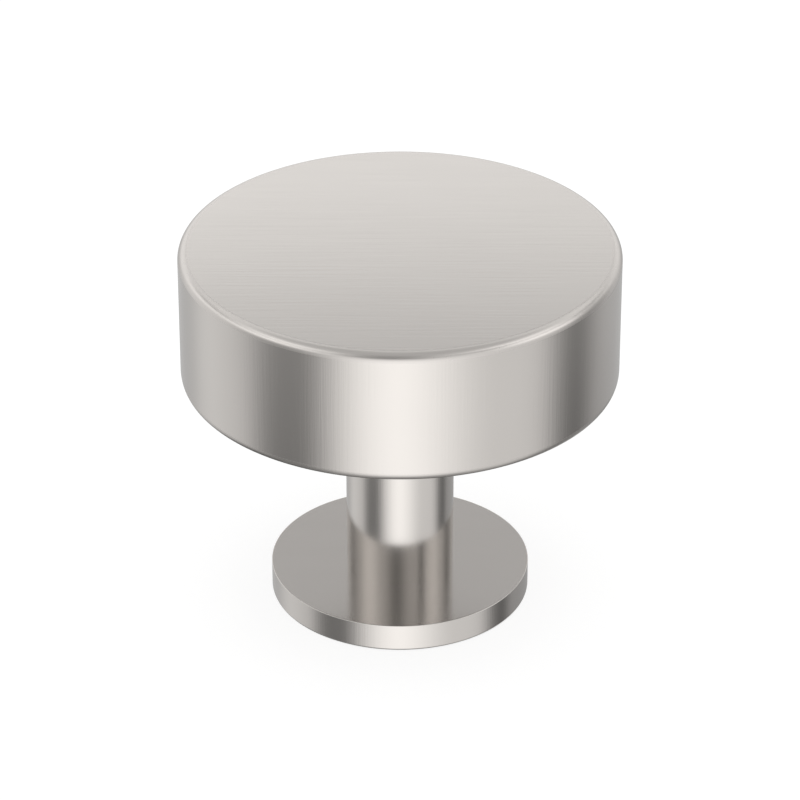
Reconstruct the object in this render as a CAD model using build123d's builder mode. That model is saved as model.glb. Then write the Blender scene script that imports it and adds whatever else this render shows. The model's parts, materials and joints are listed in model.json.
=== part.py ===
# A round pull knob for cabinet doors and drawers, cast and polished as one solid piece.
# A thick flat disc is the head, a slim straight post carries it, and a thin round foot seats on the door.
# One machine screw comes through the door from behind, into the tapped blind hole in the foot.
#
# The origin is the centre of the foot's seat, on the door's surface, and +Z points out of the door along
# the knob's axis, towards the head. Lengths are in millimetres and angles in degrees.

import os
from math import radians, tan

from build123d import *

# How far the head's flat face stands off the door
projection = 28.1

# Head: a flat disc whose two rims are rolled over
head_diameter = 31.75
head_thickness = 9.9
head_front_rim_radius = 0.65
head_back_rim_radius = 0.6

# Post: a plain cylinder that meets the foot and the head in sharp corners
post_diameter = 7.9

# Foot: a thin disc with barely broken edges
foot_diameter = 19.05
foot_thickness = 2.1
foot_rim_radius = 0.05

# Screw hole: tapped 8-32 UNC. Its wall is plain here, just outside the crests of the screw's thread.
screw_major_diameter = 4.166
screw_radial_clearance = 0.017
tapped_depth = 11.0
mouth_bevel = 0.4
drill_point_angle = 118.0

# Heights and radii that follow from the sizes above
head_back_height = projection - head_thickness
head_radius = head_diameter / 2
post_radius = post_diameter / 2
foot_radius = foot_diameter / 2
hole_radius = screw_major_diameter / 2 + screw_radial_clearance
drill_point_length = hole_radius / tan(radians(drill_point_angle / 2))


with BuildPart() as knob:
    # Foot, post and head are turned from one outline: half of the section, from the seat up to the face.
    with BuildSketch(Plane.XZ):
        with BuildLine():
            Polyline(
                (0, 0),
                (foot_radius, 0),
                (foot_radius, foot_thickness),
                (post_radius, foot_thickness),
                (post_radius, head_back_height),
                (head_radius, head_back_height),
                (head_radius, projection),
                (0, projection),
                close=True,
            )
        make_face()
    revolve(axis=Axis.Z)

    # The corner circles, level by level: the seat, the foot's top, the head's back and the head's face.
    # The widest circle at each level is a rim.
    levels = knob.edges().filter_by(GeomType.CIRCLE).group_by(Axis.Z)
    rims = [circles.sort_by(SortBy.RADIUS)[-1] for circles in levels]
    seat_rim, foot_top_rim, head_back_rim, head_front_rim = rims
    fillet([seat_rim, foot_top_rim], radius=foot_rim_radius)
    fillet(head_back_rim, radius=head_back_rim_radius)
    fillet(head_front_rim, radius=head_front_rim_radius)

    # The screw hole's section: bevelled mouth, straight wall, and the cone that the drill's point leaves.
    with BuildSketch(Plane.XZ):
        with BuildLine():
            Polyline(
                (0, 0),
                (hole_radius + mouth_bevel, 0),
                (hole_radius, mouth_bevel),
                (hole_radius, tapped_depth),
                (0, tapped_depth + drill_point_length),
                close=True,
            )
        make_face()
    revolve(axis=Axis.Z, mode=Mode.SUBTRACT)

knob.part.label = "knob"

os.makedirs("parts", exist_ok=True)
export_step(knob.part, "parts/knob.step")
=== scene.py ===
"""A round cabinet knob in satin nickel, set in a studio of soft light cards.

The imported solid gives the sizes. The knob's section is measured on it and turned again with fine, smooth
rims, two of which differ from the solid's. The screw's thread is added in the hole, and the metal gets its
brushed and plated finish.
"""

import json
import logging
from dataclasses import dataclass
from enum import Enum
from math import cos, pi, radians, sin, tau
from typing import Mapping, Sequence, Union

import bpy
import numpy as np
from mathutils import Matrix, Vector


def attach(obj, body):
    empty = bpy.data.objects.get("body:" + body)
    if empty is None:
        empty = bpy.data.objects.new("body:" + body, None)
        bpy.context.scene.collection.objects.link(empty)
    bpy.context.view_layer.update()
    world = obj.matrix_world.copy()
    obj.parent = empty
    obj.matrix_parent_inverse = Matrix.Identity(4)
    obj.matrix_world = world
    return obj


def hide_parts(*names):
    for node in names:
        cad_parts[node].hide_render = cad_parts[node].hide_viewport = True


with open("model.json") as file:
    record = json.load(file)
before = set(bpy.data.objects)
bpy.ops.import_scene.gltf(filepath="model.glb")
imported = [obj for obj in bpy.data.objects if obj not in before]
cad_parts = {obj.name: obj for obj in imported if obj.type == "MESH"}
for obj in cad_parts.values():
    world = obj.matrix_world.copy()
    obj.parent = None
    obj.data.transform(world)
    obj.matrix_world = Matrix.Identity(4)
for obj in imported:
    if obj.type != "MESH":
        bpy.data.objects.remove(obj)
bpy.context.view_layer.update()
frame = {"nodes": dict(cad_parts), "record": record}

LOG = logging.getLogger("cabinet_knob")
MM = 0.001
INCH = 25.4 * MM
SAME_PLACE = 0.001 * MM
PAST_HOLE_WALL = 1.5
NOISE_MIDDLE = 0.5
BODY = "root"
NODE = "knob"
HOLE_MOUNT = "screw_hole"
UV_NAME = "UVMap"
FLATNESS = "flatness"

Point = tuple[float, float]


class Ray(Enum):
    """The kinds of ray that the studio tells apart, by their output on the Light Path node."""

    CAMERA = "Is Camera Ray"
    DIFFUSE = "Is Diffuse Ray"


class Graph:
    """Adds nodes to a shader, world or geometry tree."""

    def __init__(self, tree: bpy.types.NodeTree) -> None:
        """Empties the tree and keeps it.

        Args:
            tree: the node tree to write to.
        """
        self.tree = tree
        tree.nodes.clear()

    def node(
        self,
        kind: str,
        settings: Mapping[str, object] | None = None,
        inputs: Mapping[Union[str, int], object] | None = None,
    ) -> bpy.types.Node:
        """Adds one node.

        Args:
            kind: Blender's type name of the node.
            settings: attributes of the node, set before its sockets are used.
            inputs: a value, a Signal or a socket for each input, by the input's name or index.

        Returns:
            The new node.
        """
        node = self.tree.nodes.new(kind)
        for name, value in (settings or {}).items():
            setattr(node, name, value)
        for name, value in (inputs or {}).items():
            socket = node.inputs[name]
            source = value.socket if isinstance(value, Signal) else value
            if isinstance(source, bpy.types.NodeSocket):
                self.tree.links.new(source, socket)
            else:
                socket.default_value = source
        return node

    def signal(
        self,
        kind: str,
        settings: Mapping[str, object] | None = None,
        inputs: Mapping[Union[str, int], object] | None = None,
        output: Union[str, int] = 0,
    ) -> "Signal":
        """Adds one node and gives one of its outputs as a Signal.

        Args:
            kind: Blender's type name of the node.
            settings: attributes of the node.
            inputs: values or links of its inputs.
            output: the name or index of the output that is wanted.

        Returns:
            The output, ready for an expression.
        """
        return Signal(self, self.node(kind, settings, inputs).outputs[output])


class Signal:
    """A number on a socket. An expression on it adds the Math nodes that work it out."""

    def __init__(self, graph: Graph, socket: bpy.types.NodeSocket) -> None:
        """Wraps a socket of the graph."""
        self.graph = graph
        self.socket = socket

    def math(self, operation: str, *others: "Number") -> "Signal":
        """Adds a Math node with this signal as its first input.

        Args:
            operation: the Math node's operation.
            others: the node's further inputs.

        Returns:
            The node's result.
        """
        values = dict(enumerate((self, *others)))
        return self.graph.signal("ShaderNodeMath", {"operation": operation}, values)

    def _swapped(self, operation: str, first: float) -> "Signal":
        """Adds a Math node with this signal as its second input."""
        return self.graph.signal("ShaderNodeMath", {"operation": operation}, {0: first, 1: self})

    def __add__(self, other: "Number") -> "Signal":
        """This plus another."""
        return self.math("ADD", other)

    def __radd__(self, other: float) -> "Signal":
        """A number plus this."""
        return self._swapped("ADD", other)

    def __sub__(self, other: "Number") -> "Signal":
        """This minus another."""
        return self.math("SUBTRACT", other)

    def __rsub__(self, other: float) -> "Signal":
        """A number minus this."""
        return self._swapped("SUBTRACT", other)

    def __mul__(self, other: "Number") -> "Signal":
        """This times another."""
        return self.math("MULTIPLY", other)

    def __rmul__(self, other: float) -> "Signal":
        """A number times this."""
        return self._swapped("MULTIPLY", other)

    def __truediv__(self, other: "Number") -> "Signal":
        """This divided by another."""
        return self.math("DIVIDE", other)

    def smoothstep(self, start: float, end: float) -> "Signal":
        """Rises smoothly from 0 at the start to 1 at the end.

        Args:
            start: the value that gives 0.
            end: the value that gives 1.

        Returns:
            The eased share between 0 and 1.
        """
        settings = {"interpolation_type": "SMOOTHSTEP"}
        inputs = {"Value": self, "From Min": start, "From Max": end}
        return self.graph.signal("ShaderNodeMapRange", settings, inputs, "Result")


Number = Union[Signal, float]


@dataclass(frozen=True)
class Section:
    """Half of the knob's section, in metres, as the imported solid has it."""

    head_radius: float
    head_back: float
    top: float
    front_rim: float
    back_rim: float
    post_radius: float
    foot_radius: float
    foot_top: float
    foot_rim: float
    hole_radius: float
    hole_mouth_radius: float
    hole_wall_start: float
    hole_wall_end: float
    hole_tip: float

    @classmethod
    def measured(cls, mesh: bpy.types.Mesh, hole_radius: float) -> "Section":
        """Reads the section from the solid's corners.

        Args:
            mesh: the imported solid's mesh, standing on the origin about the Z axis.
            hole_radius: the radius of the screw hole's wall.

        Returns:
            The measured section.
        """
        points = np.empty(3 * len(mesh.vertices))
        mesh.vertices.foreach_get("co", points)
        points = points.reshape(-1, 3)
        radius = np.hypot(points[:, 0], points[:, 1])
        height = points[:, 2]

        def wall(at: float) -> tuple[float, float]:
            """Lowest and highest corner at a radius."""
            heights = height[np.abs(radius - at) < SAME_PLACE]
            return float(heights.min()), float(heights.max())

        top = float(height.max())
        head_radius = float(radius.max())
        side_low, side_high = wall(head_radius)
        hole_start, hole_end = wall(hole_radius)
        above_seat = (height > SAME_PLACE) & (height < side_low)
        outside_hole = radius > PAST_HOLE_WALL * hole_radius
        post_radius = float(radius[above_seat & outside_hole].min())
        foot_top, head_back = wall(post_radius)
        foot_radius = float(radius[height < foot_top + SAME_PLACE].max())
        rim_low, rim_high = wall(foot_radius)
        return cls(
            head_radius=head_radius,
            head_back=head_back,
            top=top,
            front_rim=top - side_high,
            back_rim=side_low - head_back,
            post_radius=post_radius,
            foot_radius=foot_radius,
            foot_top=foot_top,
            foot_rim=foot_top - rim_high,
            hole_radius=hole_radius,
            hole_mouth_radius=float(radius[height < SAME_PLACE].min()),
            hole_wall_start=hole_start,
            hole_wall_end=hole_end,
            hole_tip=float(height[radius < SAME_PLACE].min()),
        )


@dataclass(frozen=True)
class Outline:
    """Points of a section, each a radius and a height."""

    points: tuple[Point, ...]

    @staticmethod
    def rounded(corner: Point, start: float, reach: Point, steps: int, lead: float) -> list[Point]:
        """A quarter turn that rolls an outer corner over, with a short straight lead at each end.

        Args:
            corner: where the two straight stretches would meet.
            start: direction of the arc's first point from its centre, in radians.
            reach: how far the arc reaches in from the corner, along the radius and along the height.
            steps: how many chords the arc has.
            lead: length of the straight stretch before and after the arc.

        Returns:
            The arc's points, from the first lead to the last.
        """
        end = start + pi / 2
        centre = (
            corner[0] - reach[0] * round(cos(start) + cos(end)),
            corner[1] - reach[1] * round(sin(start) + sin(end)),
        )
        angles = [start + pi / 2 * step / steps for step in range(steps + 1)]
        arc = [(centre[0] + reach[0] * cos(a), centre[1] + reach[1] * sin(a)) for a in angles]
        before = (arc[0][0] + lead * sin(start), arc[0][1] - lead * cos(start))
        after = (arc[-1][0] - lead * sin(end), arc[-1][1] + lead * cos(end))
        return [before, *arc, after]

    def as_object(self, name: str) -> bpy.types.Object:
        """Makes a mesh of edges in the XZ plane.

        Args:
            name: the object's name.

        Returns:
            The new object, linked to the scene.
        """
        mesh = bpy.data.meshes.new(name)
        places = [(radius, 0.0, height) for radius, height in self.points]
        mesh.from_pydata(places, [(i, i + 1) for i in range(len(places) - 1)], [])
        piece = bpy.data.objects.new(name, mesh)
        bpy.context.scene.collection.objects.link(piece)
        return piece


class TurningTree:
    """The Geometry Nodes tree that turns an outline about the Z axis, with a lead where it cuts a thread."""

    INPUTS = {
        "Steps": "NodeSocketInt",
        "Turns": "NodeSocketFloat",
        "Lead": "NodeSocketFloat",
        "Start Height": "NodeSocketFloat",
        "Root Radius": "NodeSocketFloat",
        "Run-out": "NodeSocketFloat",
        "Sharp Angle": "NodeSocketFloat",
        "Material": "NodeSocketMaterial",
    }
    WELD = 0.0002 * MM
    SHORTEST_RUN_OUT = 1e-6

    def __init__(self) -> None:
        """Builds the tree."""
        self.tree = bpy.data.node_groups.new("turn_outline", "GeometryNodeTree")
        faces = self.tree.interface
        faces.new_socket(name="Geometry", in_out="OUTPUT", socket_type="NodeSocketGeometry")
        faces.new_socket(name="Outline", in_out="INPUT", socket_type="NodeSocketGeometry")
        for name, kind in self.INPUTS.items():
            faces.new_socket(name=name, in_out="INPUT", socket_type=kind)
        self._build(Graph(self.tree))

    def _build(self, graph: Graph) -> None:
        """Adds the nodes: a grid of outline points by steps, placed, welded and finished."""
        given = graph.node("NodeGroupInput").outputs
        value = {name: Signal(graph, given[name]) for name in self.INPUTS}
        rows = graph.signal(
            "GeometryNodeAttributeDomainSize",
            {"component": "MESH"},
            {"Geometry": given["Outline"]},
            "Point Count",
        )
        grid = graph.node(
            "GeometryNodeMeshGrid", None, {"Vertices X": value["Steps"] + 1, "Vertices Y": rows}
        )
        index = graph.signal("GeometryNodeInputIndex")
        column = (index / rows).math("FLOOR")
        place = graph.node(
            "GeometryNodeSampleIndex",
            {"data_type": "FLOAT_VECTOR", "domain": "POINT"},
            {
                "Geometry": given["Outline"],
                "Value": graph.node("GeometryNodeInputPosition").outputs[0],
                "Index": index - column * rows,
            },
        )
        point = graph.node("ShaderNodeSeparateXYZ", None, {0: place.outputs[0]})
        radius, height = Signal(graph, point.outputs["X"]), Signal(graph, point.outputs["Z"])
        turn = column / value["Steps"] * value["Turns"]
        ramp = self._ramp(turn, value["Turns"], value["Run-out"])
        reach = value["Root Radius"] + (radius - value["Root Radius"]) * ramp
        angle = turn * tau
        placed = graph.node(
            "ShaderNodeCombineXYZ",
            None,
            {
                "X": reach * angle.math("COSINE"),
                "Y": reach * angle.math("SINE"),
                "Z": height * ramp + value["Start Height"] + value["Lead"] * turn,
            },
        )
        unrolled = graph.node(
            "GeometryNodeStoreNamedAttribute",
            {"data_type": "FLOAT2", "domain": "CORNER"},
            {"Geometry": grid.outputs["Mesh"], "Name": UV_NAME, "Value": grid.outputs["UV Map"]},
        )
        turned = graph.node(
            "GeometryNodeSetPosition", None, {"Geometry": unrolled.outputs[0], "Position": placed.outputs[0]}
        )
        welded = graph.node(
            "GeometryNodeMergeByDistance", None, {"Geometry": turned.outputs[0], "Distance": self.WELD}
        )
        self._finish(graph, welded, value)

    @staticmethod
    def _ramp(turn: Signal, turns: Signal, run_out: Signal) -> Signal:
        """Size of the outline along the way: full, or shrinking to nothing at both ends of a thread."""
        from_ends = turn.math("MINIMUM", turns - turn)
        length = run_out.math("MAXIMUM", TurningTree.SHORTEST_RUN_OUT)
        shrinking = (from_ends / length).math("MINIMUM", 1.0)
        tapers = run_out.math("GREATER_THAN", 0.0)
        return 1 - tapers * (1 - shrinking)

    @staticmethod
    def _finish(graph: Graph, welded: bpy.types.Node, value: Mapping[str, Signal]) -> None:
        """Shades the turned mesh, marks its flat faces, and sets its material."""
        edge_angle = graph.signal("GeometryNodeInputMeshEdgeAngle", None, None, "Unsigned Angle")
        smooth = graph.node(
            "GeometryNodeSetShadeSmooth",
            {"domain": "FACE"},
            {"Geometry": welded.outputs[0], "Shade Smooth": True},
        )
        creased = graph.node(
            "GeometryNodeSetShadeSmooth",
            {"domain": "EDGE"},
            {
                "Geometry": smooth.outputs[0],
                "Selection": edge_angle.math("GREATER_THAN", value["Sharp Angle"]),
                "Shade Smooth": False,
            },
        )
        normal = graph.node(
            "ShaderNodeSeparateXYZ", None, {0: graph.node("GeometryNodeInputNormal").outputs[0]}
        )
        marked = graph.node(
            "GeometryNodeStoreNamedAttribute",
            {"data_type": "FLOAT", "domain": "FACE"},
            {
                "Geometry": creased.outputs[0],
                "Name": FLATNESS,
                "Value": Signal(graph, normal.outputs["Z"]).math("ABSOLUTE"),
            },
        )
        real = graph.node("GeometryNodeRealizeInstances", None, {"Geometry": marked.outputs[0]})
        dressed = graph.node(
            "GeometryNodeSetMaterial",
            None,
            {"Geometry": real.outputs[0], "Material": value["Material"]},
        )
        graph.node("NodeGroupOutput", None, {"Geometry": dressed.outputs[0]})

    def turn(self, outline: bpy.types.Object, settings: Mapping[str, object]) -> bpy.types.Object:
        """Turns the outline into a plain mesh.

        Args:
            outline: the object that holds the outline's edges. Its mesh is replaced.
            settings: a value for each input, by its name.

        Returns:
            The same object, with its turned mesh and no modifier.
        """
        modifier = outline.modifiers.new("turn", "NODES")
        modifier.node_group = self.tree
        for item in self.tree.interface.items_tree:
            if item.in_out == "INPUT" and item.name in settings:
                modifier[item.identifier] = settings[item.name]
        shape = outline.evaluated_get(bpy.context.evaluated_depsgraph_get())
        mesh = bpy.data.meshes.new_from_object(shape)
        outline.modifiers.remove(modifier)
        outline.data = mesh
        return outline


@dataclass(frozen=True)
class SatinNickel:
    """Nickel plate over a fine brushed casting: a warm grey, softly glossy metal, more matt on its rims."""

    colour: tuple[float, float, float] = (0.60, 0.572, 0.545)
    colour_change: float = 0.03
    roughness: float = 0.15
    rim_roughness: float = 0.28
    roughness_change: float = 0.03
    flat_hairline: float = 0.22 * MM
    flat_depth: float = 0.0009 * MM
    wall_hairline: float = 0.14 * MM
    wall_depth: float = 0.003 * MM
    hairline_length: float = 7.0 * MM
    hairline_detail: float = 2.0
    grain_size: float = 0.16 * MM
    grain_depth: float = 0.00008 * MM
    grain_detail: float = 1.0
    cloud_size: float = 6.0 * MM
    cloud_detail: float = 2.0
    flat_from: float = 0.55
    flat_to: float = 0.75
    off_wall: float = 0.03
    off_flat: float = 0.001

    def material(self, axis_reach: float) -> bpy.types.Material:
        """Builds the material.

        Args:
            axis_reach: the radius at which the hairlines on round walls have their stated width.

        Returns:
            The new material.
        """
        made = bpy.data.materials.new("satin_nickel")
        made.use_nodes = True
        graph = Graph(made.node_tree)
        place = graph.node("ShaderNodeTexCoord").outputs["Object"]
        clouds = self._noise(graph, place, (1 / self.cloud_size,) * 3, self.cloud_detail)
        grain = self._noise(graph, place, (1 / self.grain_size,) * 3, self.grain_detail)
        flatness = graph.signal("ShaderNodeAttribute", {"attribute_name": FLATNESS}, None, "Fac")
        hairlines, depth = self._hairlines(graph, place, flatness, axis_reach)
        shade = 1 + (clouds - NOISE_MIDDLE) * self.colour_change
        colour = graph.node(
            "ShaderNodeVectorMath", {"operation": "SCALE"}, {0: self.colour, "Scale": shade}
        )
        height = (hairlines - NOISE_MIDDLE) * depth + (grain - NOISE_MIDDLE) * self.grain_depth
        bump = graph.node("ShaderNodeBump", None, {"Strength": 1.0, "Distance": 1.0, "Height": height})
        on_rim = flatness.smoothstep(0.0, self.off_wall) * (1 - flatness).smoothstep(0.0, self.off_flat)
        even = self.roughness + (self.rim_roughness - self.roughness) * on_rim
        roughness = even + (hairlines - NOISE_MIDDLE) * self.roughness_change
        metal = graph.node(
            "ShaderNodeBsdfPrincipled",
            None,
            {
                "Base Color": colour.outputs[0],
                "Metallic": 1.0,
                "Roughness": roughness,
                "Normal": bump.outputs[0],
            },
        )
        graph.node("ShaderNodeOutputMaterial", None, {"Surface": metal.outputs[0]})
        return made

    @staticmethod
    def _noise(
        graph: Graph, place: bpy.types.NodeSocket, scale: tuple[float, float, float], detail: float
    ) -> Signal:
        """Noise between 0 and 1, with its own scale along each axis."""
        spread = graph.node("ShaderNodeVectorMath", {"operation": "MULTIPLY"}, {0: place, 1: scale})
        settings = {"noise_dimensions": "3D", "normalize": True}
        inputs = {"Vector": spread.outputs[0], "Scale": 1.0, "Detail": detail}
        return graph.signal("ShaderNodeTexNoise", settings, inputs, 0)

    def _hairlines(
        self, graph: Graph, place: bpy.types.NodeSocket, flatness: Signal, axis_reach: float
    ) -> tuple[Signal, Signal]:
        """Brushed lines and their depth: straight across flat faces, along the axis on round walls."""
        along, across = 1 / self.hairline_length, 1 / self.flat_hairline
        on_flats = self._noise(graph, place, (along, across, across), self.hairline_detail)
        outward = graph.node(
            "ShaderNodeVectorMath", {"operation": "MULTIPLY"}, {0: place, 1: (1.0, 1.0, 0.0)}
        )
        direction = graph.node("ShaderNodeVectorMath", {"operation": "NORMALIZE"}, {0: outward.outputs[0]})
        spun = graph.node(
            "ShaderNodeVectorMath",
            {"operation": "SCALE"},
            {0: direction.outputs[0], "Scale": axis_reach / self.wall_hairline},
        )
        lifted = graph.node(
            "ShaderNodeVectorMath",
            {"operation": "MULTIPLY_ADD"},
            {0: place, 1: (0.0, 0.0, along), 2: spun.outputs[0]},
        )
        on_walls = self._noise(graph, lifted.outputs[0], (1.0, 1.0, 1.0), self.hairline_detail)
        flat = flatness.smoothstep(self.flat_from, self.flat_to)
        depth = self.wall_depth + (self.flat_depth - self.wall_depth) * flat
        return on_walls + (on_flats - on_walls) * flat, depth


@dataclass
class KnobBody:
    """The casting: head, post and foot in one, with the screw hole's plain wall.

    Two rims differ from the solid's, and both were chosen by trial against the photograph. The edge at the
    head's back is crisper: it keeps a share of the fillet's reach along the radius, and a larger share up the
    side. The seat's rim is softer.
    """

    section: Section
    turner: TurningTree
    finish: bpy.types.Material
    steps_around: int = 320
    back_rim_shares: Point = (0.35, 0.85)
    seat_rim: float = 0.15 * MM
    rim_steps: int = 16
    foot_rim_steps: int = 6
    rim_lead: float = 0.04 * MM
    sharp_angle: float = radians(32)

    def outline(self) -> Outline:
        """The half section, from the tip of the screw hole round to the middle of the face.

        Returns:
            The outline, whose first and last points are on the axis.
        """
        s = self.section
        back_rim = tuple(share * s.back_rim for share in self.back_rim_shares)
        even_rims = (self.seat_rim, s.foot_rim, s.front_rim)
        seat_rim, foot_rim, front_rim = ((reach, reach) for reach in even_rims)
        foot = [
            Outline.rounded((s.foot_radius, 0.0), -pi / 2, seat_rim, self.foot_rim_steps, self.rim_lead),
            Outline.rounded((s.foot_radius, s.foot_top), 0.0, foot_rim, self.foot_rim_steps, self.rim_lead),
        ]
        head = [
            Outline.rounded((s.head_radius, s.head_back), -pi / 2, back_rim, self.rim_steps, self.rim_lead),
            Outline.rounded((s.head_radius, s.top), 0.0, front_rim, self.rim_steps, self.rim_lead),
        ]
        hole = [
            (0.0, s.hole_tip),
            (s.hole_radius, s.hole_wall_end),
            (s.hole_radius, s.hole_wall_start),
            (s.hole_mouth_radius, 0.0),
        ]
        post = [(s.post_radius, s.foot_top), (s.post_radius, s.head_back)]
        middle = (0.0, s.top)
        return Outline((*hole, *foot[0], *foot[1], *post, *head[0], *head[1], middle))

    def build(self) -> bpy.types.Object:
        """Turns the casting.

        Returns:
            The finished piece, declared to the frame.
        """
        piece = self.turner.turn(
            self.outline().as_object("knob_body"),
            {
                "Steps": self.steps_around,
                "Turns": 1.0,
                "Sharp Angle": self.sharp_angle,
                "Material": self.finish,
            },
        )
        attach(piece, BODY)
        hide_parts(NODE)
        return piece


@dataclass
class ScrewThread:
    """The thread's ridge on the screw hole's wall, for an 8-32 machine screw."""

    section: Section
    turner: TurningTree
    finish: bpy.types.Material
    pitch: float = INCH / 32
    minor_radius: float = 1.73 * MM
    root_share: float = 7 / 16
    crest_share: float = 1 / 8
    sunk: float = 0.01 * MM
    steps_per_turn: int = 48
    run_out: float = 0.5
    sharp_angle: float = radians(25)

    def outline(self) -> Outline:
        """The ridge's tooth, with a flat crest and a root sunk just behind the wall.

        The flanks stand about 66 degrees apart, a little more than the real thread's 60.

        Returns:
            The closed outline, about height 0.
        """
        root = self.section.hole_radius + self.sunk
        root_half = self.pitch * self.root_share
        crest_half = self.pitch * self.crest_share
        return Outline(
            (
                (root, -root_half),
                (root, root_half),
                (self.minor_radius, crest_half),
                (self.minor_radius, -crest_half),
                (root, -root_half),
            )
        )

    def build(self) -> bpy.types.Object:
        """Winds the ridge up the hole.

        Returns:
            The finished piece, declared to the frame.
        """
        s = self.section
        start = s.hole_wall_start + self.pitch / 2
        length = s.hole_wall_end - self.pitch - start
        turns = length / self.pitch
        piece = self.turner.turn(
            self.outline().as_object("screw_thread"),
            {
                "Steps": round(turns * self.steps_per_turn),
                "Turns": turns,
                "Lead": self.pitch,
                "Start Height": start,
                "Root Radius": s.hole_radius + self.sunk,
                "Run-out": self.run_out,
                "Sharp Angle": self.sharp_angle,
                "Material": self.finish,
            },
        )
        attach(piece, BODY)
        return piece


@dataclass(frozen=True)
class Card:
    """A soft light or dark card round the knob, by where its middle stands and how far it reaches.

    Azimuth is 0 towards the camera and positive to its right. All angles are in degrees.
    """

    name: str
    azimuth: float
    elevation: float
    half_width: float
    half_height: float
    soft_width: float
    soft_height: float
    level: float

    def mask(self, azimuth: Signal, elevation: Signal) -> Signal:
        """How much of the card is seen in a direction.

        Args:
            azimuth: the direction's azimuth, in radians.
            elevation: the direction's elevation, in radians.

        Returns:
            1 on the card, falling softly to 0 past its edges.
        """
        aside = (azimuth - radians(self.azimuth)).math("WRAP", pi, -pi).math("ABSOLUTE")
        above = (elevation - radians(self.elevation)).math("ABSOLUTE")
        wide = aside.smoothstep(
            radians(self.half_width + self.soft_width), radians(self.half_width - self.soft_width)
        )
        high = above.smoothstep(
            radians(self.half_height + self.soft_height), radians(self.half_height - self.soft_height)
        )
        return wide * high


STUDIO_CARDS = (
    Card("backdrop", -166, 2, 38, 26.4, 36, 1.0, 1.16),
    Card("back_skirt", 180, -32, 56, 35, 26, 13, 0.80),
    Card("back_low", 172, -55, 54, 31, 22, 8, 0.54),
    Card("back_left_strip", -115, 0, 12, 30, 12, 14, 0.95),
    Card("under", 180, -70, 120, 27, 30, 8, 0.15),
    Card("back_right_low", 150, -45, 34, 13.5, 14, 3, 0.42),
    Card("right_flag", 102, -18, 20, 31, 19, 13, 0.34),
    Card("right_flag_low", 101, -44, 15, 14.7, 12, 2, 0.16),
    Card("left_flag", -55, -24, 25, 34, 20, 12, 0.41),
    Card("left_flag_low", -61, -44.3, 17, 14.8, 13, 2, 0.22),
    Card("fill", 38, -25, 41, 50, 26, 20, 0.91),
    Card("upper_ring", 180, 37, 150, 16, 14, 9, 1.08),
    Card("key", -1, -50, 26, 60, 28, 25, 1.53),
    Card("front_under", 12, -80, 60, 30, 25, 12, 0.34),
    Card("backdrop_top", -162, 20, 38, 8.4, 36, 1.0, 1.18),
    Card("back_strip", -160, 27.1, 24, 1.3, 24, 0.7, 1.70),
    Card("left_box", -70, 31, 25, 17, 18, 10, 1.55),
    Card("right_box", 80, 29, 26, 19, 11, 9, 1.66),
    Card("camera_side", -8, 45, 18, 21, 14, 8, 0.34),
    Card("left_edge", -160, -12, 20, 12, 12, 9, 0.62),
    Card("right_edge", 162, -20, 20, 17, 13, 8, 0.54),
    Card("left_corner", -121, 21, 17, 9, 12, 6, 1.34),
    Card("right_corner", 108, 14, 12, 9, 7, 6, 0.50),
    Card("belt_ends", 180, 32.2, 56, 2.2, 8, 1.0, 0.48),
    Card("belt", 0, 32.4, 128, 4.0, 10, 2, 0.58),
    Card("left_dark", -124, 32.4, 13, 3.0, 14, 1.6, 0.20),
    Card("right_dark", 124, 32.4, 13, 3.0, 13, 1.6, 0.12),
    Card("left_glow", -70, 32.4, 17, 4.0, 16, 2, 1.12),
    Card("right_glow", 77, 32.4, 12, 4.0, 10, 2, 1.00),
    Card("notch", 47, 32.4, 6, 4.0, 7, 2, 0.00),
    Card("camera_band", -7, 33, 14, 4.5, 12, 2, 0.25),
    Card("back_gap", 178, 37, 8, 8, 6, 3.5, 0.60),
    Card("back_slot", 179, 29.9, 9, 1.4, 7, 1.0, 0.45),
    Card("right_low_edge", 145, -40, 28, 9.5, 12, 2.5, 0.38),
)


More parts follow.
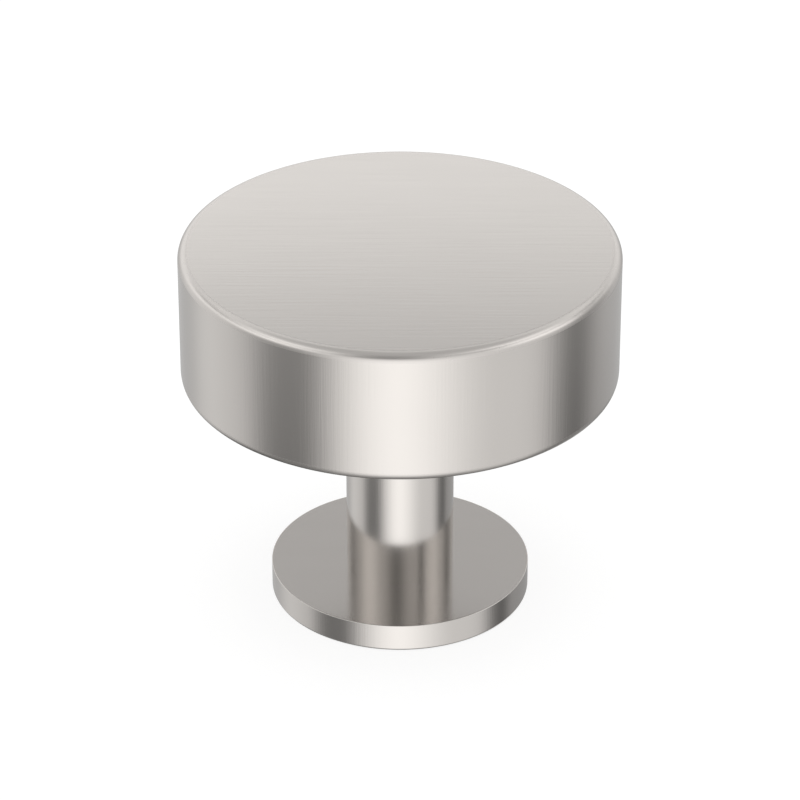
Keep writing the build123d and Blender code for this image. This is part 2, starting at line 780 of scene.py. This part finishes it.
@dataclass
class Studio:
    """The surroundings: a tent of soft cards that the metal mirrors, a white background and a pale floor."""

    cards: Sequence[Card] = STUDIO_CARDS
    level_below: float = 0.46
    level_ahead: float = 0.92
    level_above: float = 0.61
    background: float = 1.0
    floor_light: float = 1.0
    floor_colour: tuple[float, float, float, float] = (0.8, 0.8, 0.8, 1.0)
    floor_glow: float = 1.25
    glow_share: float = 0.6
    floor_gap: float = 0.05 * MM
    floor_radius: float = 3.0
    floor_sides: int = 96

    def build(self) -> None:
        """Makes the world and the floor."""
        self._world()
        self._floor()

    def _world(self) -> None:
        """Writes the world's nodes: cards for the metal, plain light for the floor, white for the camera."""
        world = bpy.data.worlds.new("studio")
        world.use_nodes = True
        world.cycles.sampling_method = "NONE"
        graph = Graph(world.node_tree)
        direction = graph.node("ShaderNodeTexCoord").outputs["Generated"]
        axis = graph.node("ShaderNodeSeparateXYZ", None, {0: direction})
        right, back, up = (Signal(graph, axis.outputs[name]) for name in "XYZ")
        azimuth = right.math("ARCTAN2", 0 - back)
        elevation = up.math("ARCSINE")
        level = (
            self.level_ahead
            + (self.level_above - self.level_ahead) * elevation.smoothstep(0.0, pi / 2)
            + (self.level_below - self.level_ahead) * elevation.smoothstep(0.0, -pi / 2)
        )
        for card in self.cards:
            level = level + (card.level - level) * card.mask(azimuth, elevation)
        path = graph.node("ShaderNodeLightPath")
        camera, diffuse = (Signal(graph, path.outputs[ray.value]) for ray in (Ray.CAMERA, Ray.DIFFUSE))
        level = level + (self.floor_light - level) * diffuse
        level = level + (self.background - level) * camera
        light = graph.node("ShaderNodeBackground", None, {"Color": level, "Strength": 1.0})
        graph.node("ShaderNodeOutputWorld", None, {"Surface": light.outputs[0]})
        bpy.context.scene.world = world

    def _floor(self) -> None:
        """Lays the floor a hair under the foot. The metal mirrors the cards, not the floor.

        The floor shows only from above, so that the seat and the screw hole can be seen from below.
        """
        turns = [tau * side / self.floor_sides for side in range(self.floor_sides)]
        corners = [(self.floor_radius * cos(t), self.floor_radius * sin(t), -self.floor_gap) for t in turns]
        mesh = bpy.data.meshes.new("floor")
        mesh.from_pydata(corners, [], [range(self.floor_sides)])
        floor = bpy.data.objects.new("floor", mesh)
        bpy.context.scene.collection.objects.link(floor)
        floor.visible_glossy = False
        paint = bpy.data.materials.new("floor_paint")
        paint.use_nodes = True
        graph = Graph(paint.node_tree)
        matt = graph.node("ShaderNodeBsdfDiffuse", None, {"Color": self.floor_colour})
        glow = graph.node("ShaderNodeEmission", None, {"Strength": self.floor_glow})
        camera = graph.signal("ShaderNodeLightPath", None, None, Ray.CAMERA.value)
        topside = graph.node(
            "ShaderNodeMixShader",
            None,
            {0: camera * self.glow_share, 1: matt.outputs[0], 2: glow.outputs[0]},
        )
        underside = graph.signal("ShaderNodeNewGeometry", None, None, "Backfacing")
        clear = graph.node("ShaderNodeBsdfTransparent")
        one_sided = graph.node(
            "ShaderNodeMixShader", None, {0: underside, 1: topside.outputs[0], 2: clear.outputs[0]}
        )
        graph.node("ShaderNodeOutputMaterial", None, {"Surface": one_sided.outputs[0]})
        mesh.materials.append(paint)


@dataclass(frozen=True)
class PhotoCamera:
    """The camera, looking down at the knob's axis from the front."""

    distance: float = 287.7 * MM
    elevation: float = radians(29.8)
    aim_height: float = 15.53 * MM
    lens: float = 177.75
    sensor: float = 36.0
    nearest: float = 0.01
    farthest: float = 10.0

    def build(self) -> bpy.types.Object:
        """Places the camera and makes it the scene's.

        Returns:
            The camera object.
        """
        data = bpy.data.cameras.new("photo_camera")
        data.lens = self.lens
        data.sensor_width = self.sensor
        data.clip_start = self.nearest
        data.clip_end = self.farthest
        camera = bpy.data.objects.new("photo_camera", data)
        back = Vector((0.0, -cos(self.elevation), sin(self.elevation)))
        camera.location = Vector((0.0, 0.0, self.aim_height)) + self.distance * back
        camera.rotation_euler = back.to_track_quat("Z", "Y").to_euler()
        bpy.context.scene.collection.objects.link(camera)
        bpy.context.scene.camera = camera
        return camera


def main() -> None:
    """Builds the camera, the studio and the knob, and logs the measured section and each piece's face count.
    """
    logging.basicConfig(level=logging.INFO, format="%(name)s: %(message)s")
    bpy.context.scene.view_settings.view_transform = "Standard"
    PhotoCamera().build()
    Studio().build()
    hole = next(mount for mount in frame["record"]["mounts"] if mount["name"] == HOLE_MOUNT)
    section = Section.measured(frame["nodes"][NODE].data, hole["dims"]["r_mm"] * MM)
    LOG.info("section: %s", section)
    finish = SatinNickel().material(section.head_radius)
    turner = TurningTree()
    for maker in (KnobBody(section, turner, finish), ScrewThread(section, turner, finish)):
        piece = maker.build()
        LOG.info("%s: %d faces", piece.name, len(piece.data.polygons))


if __name__ == "__main__":
    main()
